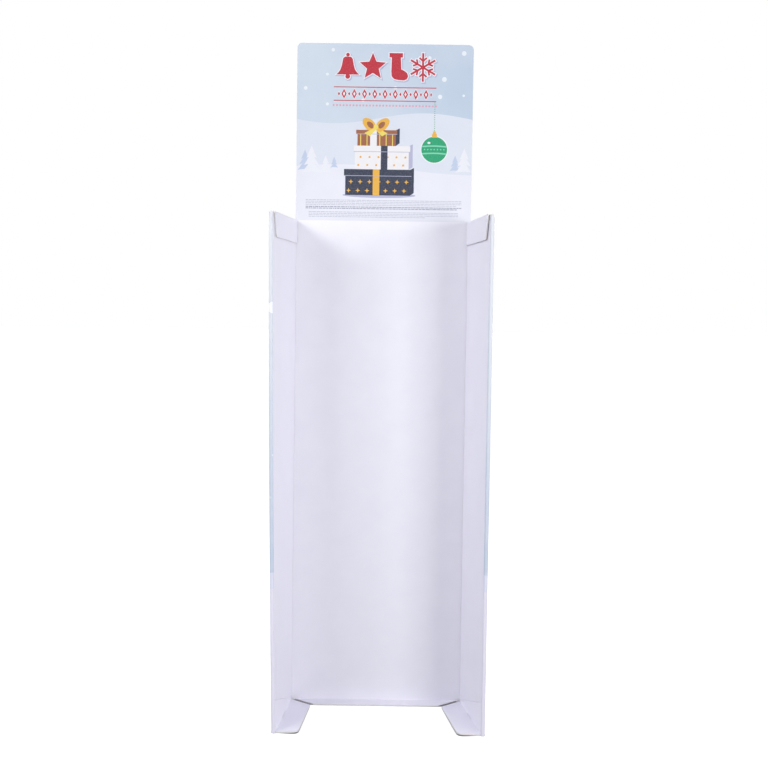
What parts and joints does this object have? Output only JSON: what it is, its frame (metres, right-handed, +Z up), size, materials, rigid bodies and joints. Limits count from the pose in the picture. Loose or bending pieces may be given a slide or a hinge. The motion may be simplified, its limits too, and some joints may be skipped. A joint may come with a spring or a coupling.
{
  "type": "cardboard display stand",
  "caption": "Tall folded corrugated floor stand with an open-fronted bay, hollow side wings, folded-in feet and a header card.",
  "frame": {"origin": "centre of the bounding box, on the floor", "axes": "+Z up, the open front faces -Y, +X to the right as seen from the front"},
  "size_m": [0.5314, 0.2682, 1.7],
  "materials": {
    "printed_board": "satin",
    "header_print": "satin",
    "foam_tape": "matte"
  },
  "bodies": {
    "root": {"body_sheet": "printed_board", "header_card": "header_print", "tape_upper": "foam_tape", "tape_lower": "foam_tape"}
  },
  "joints": []
}
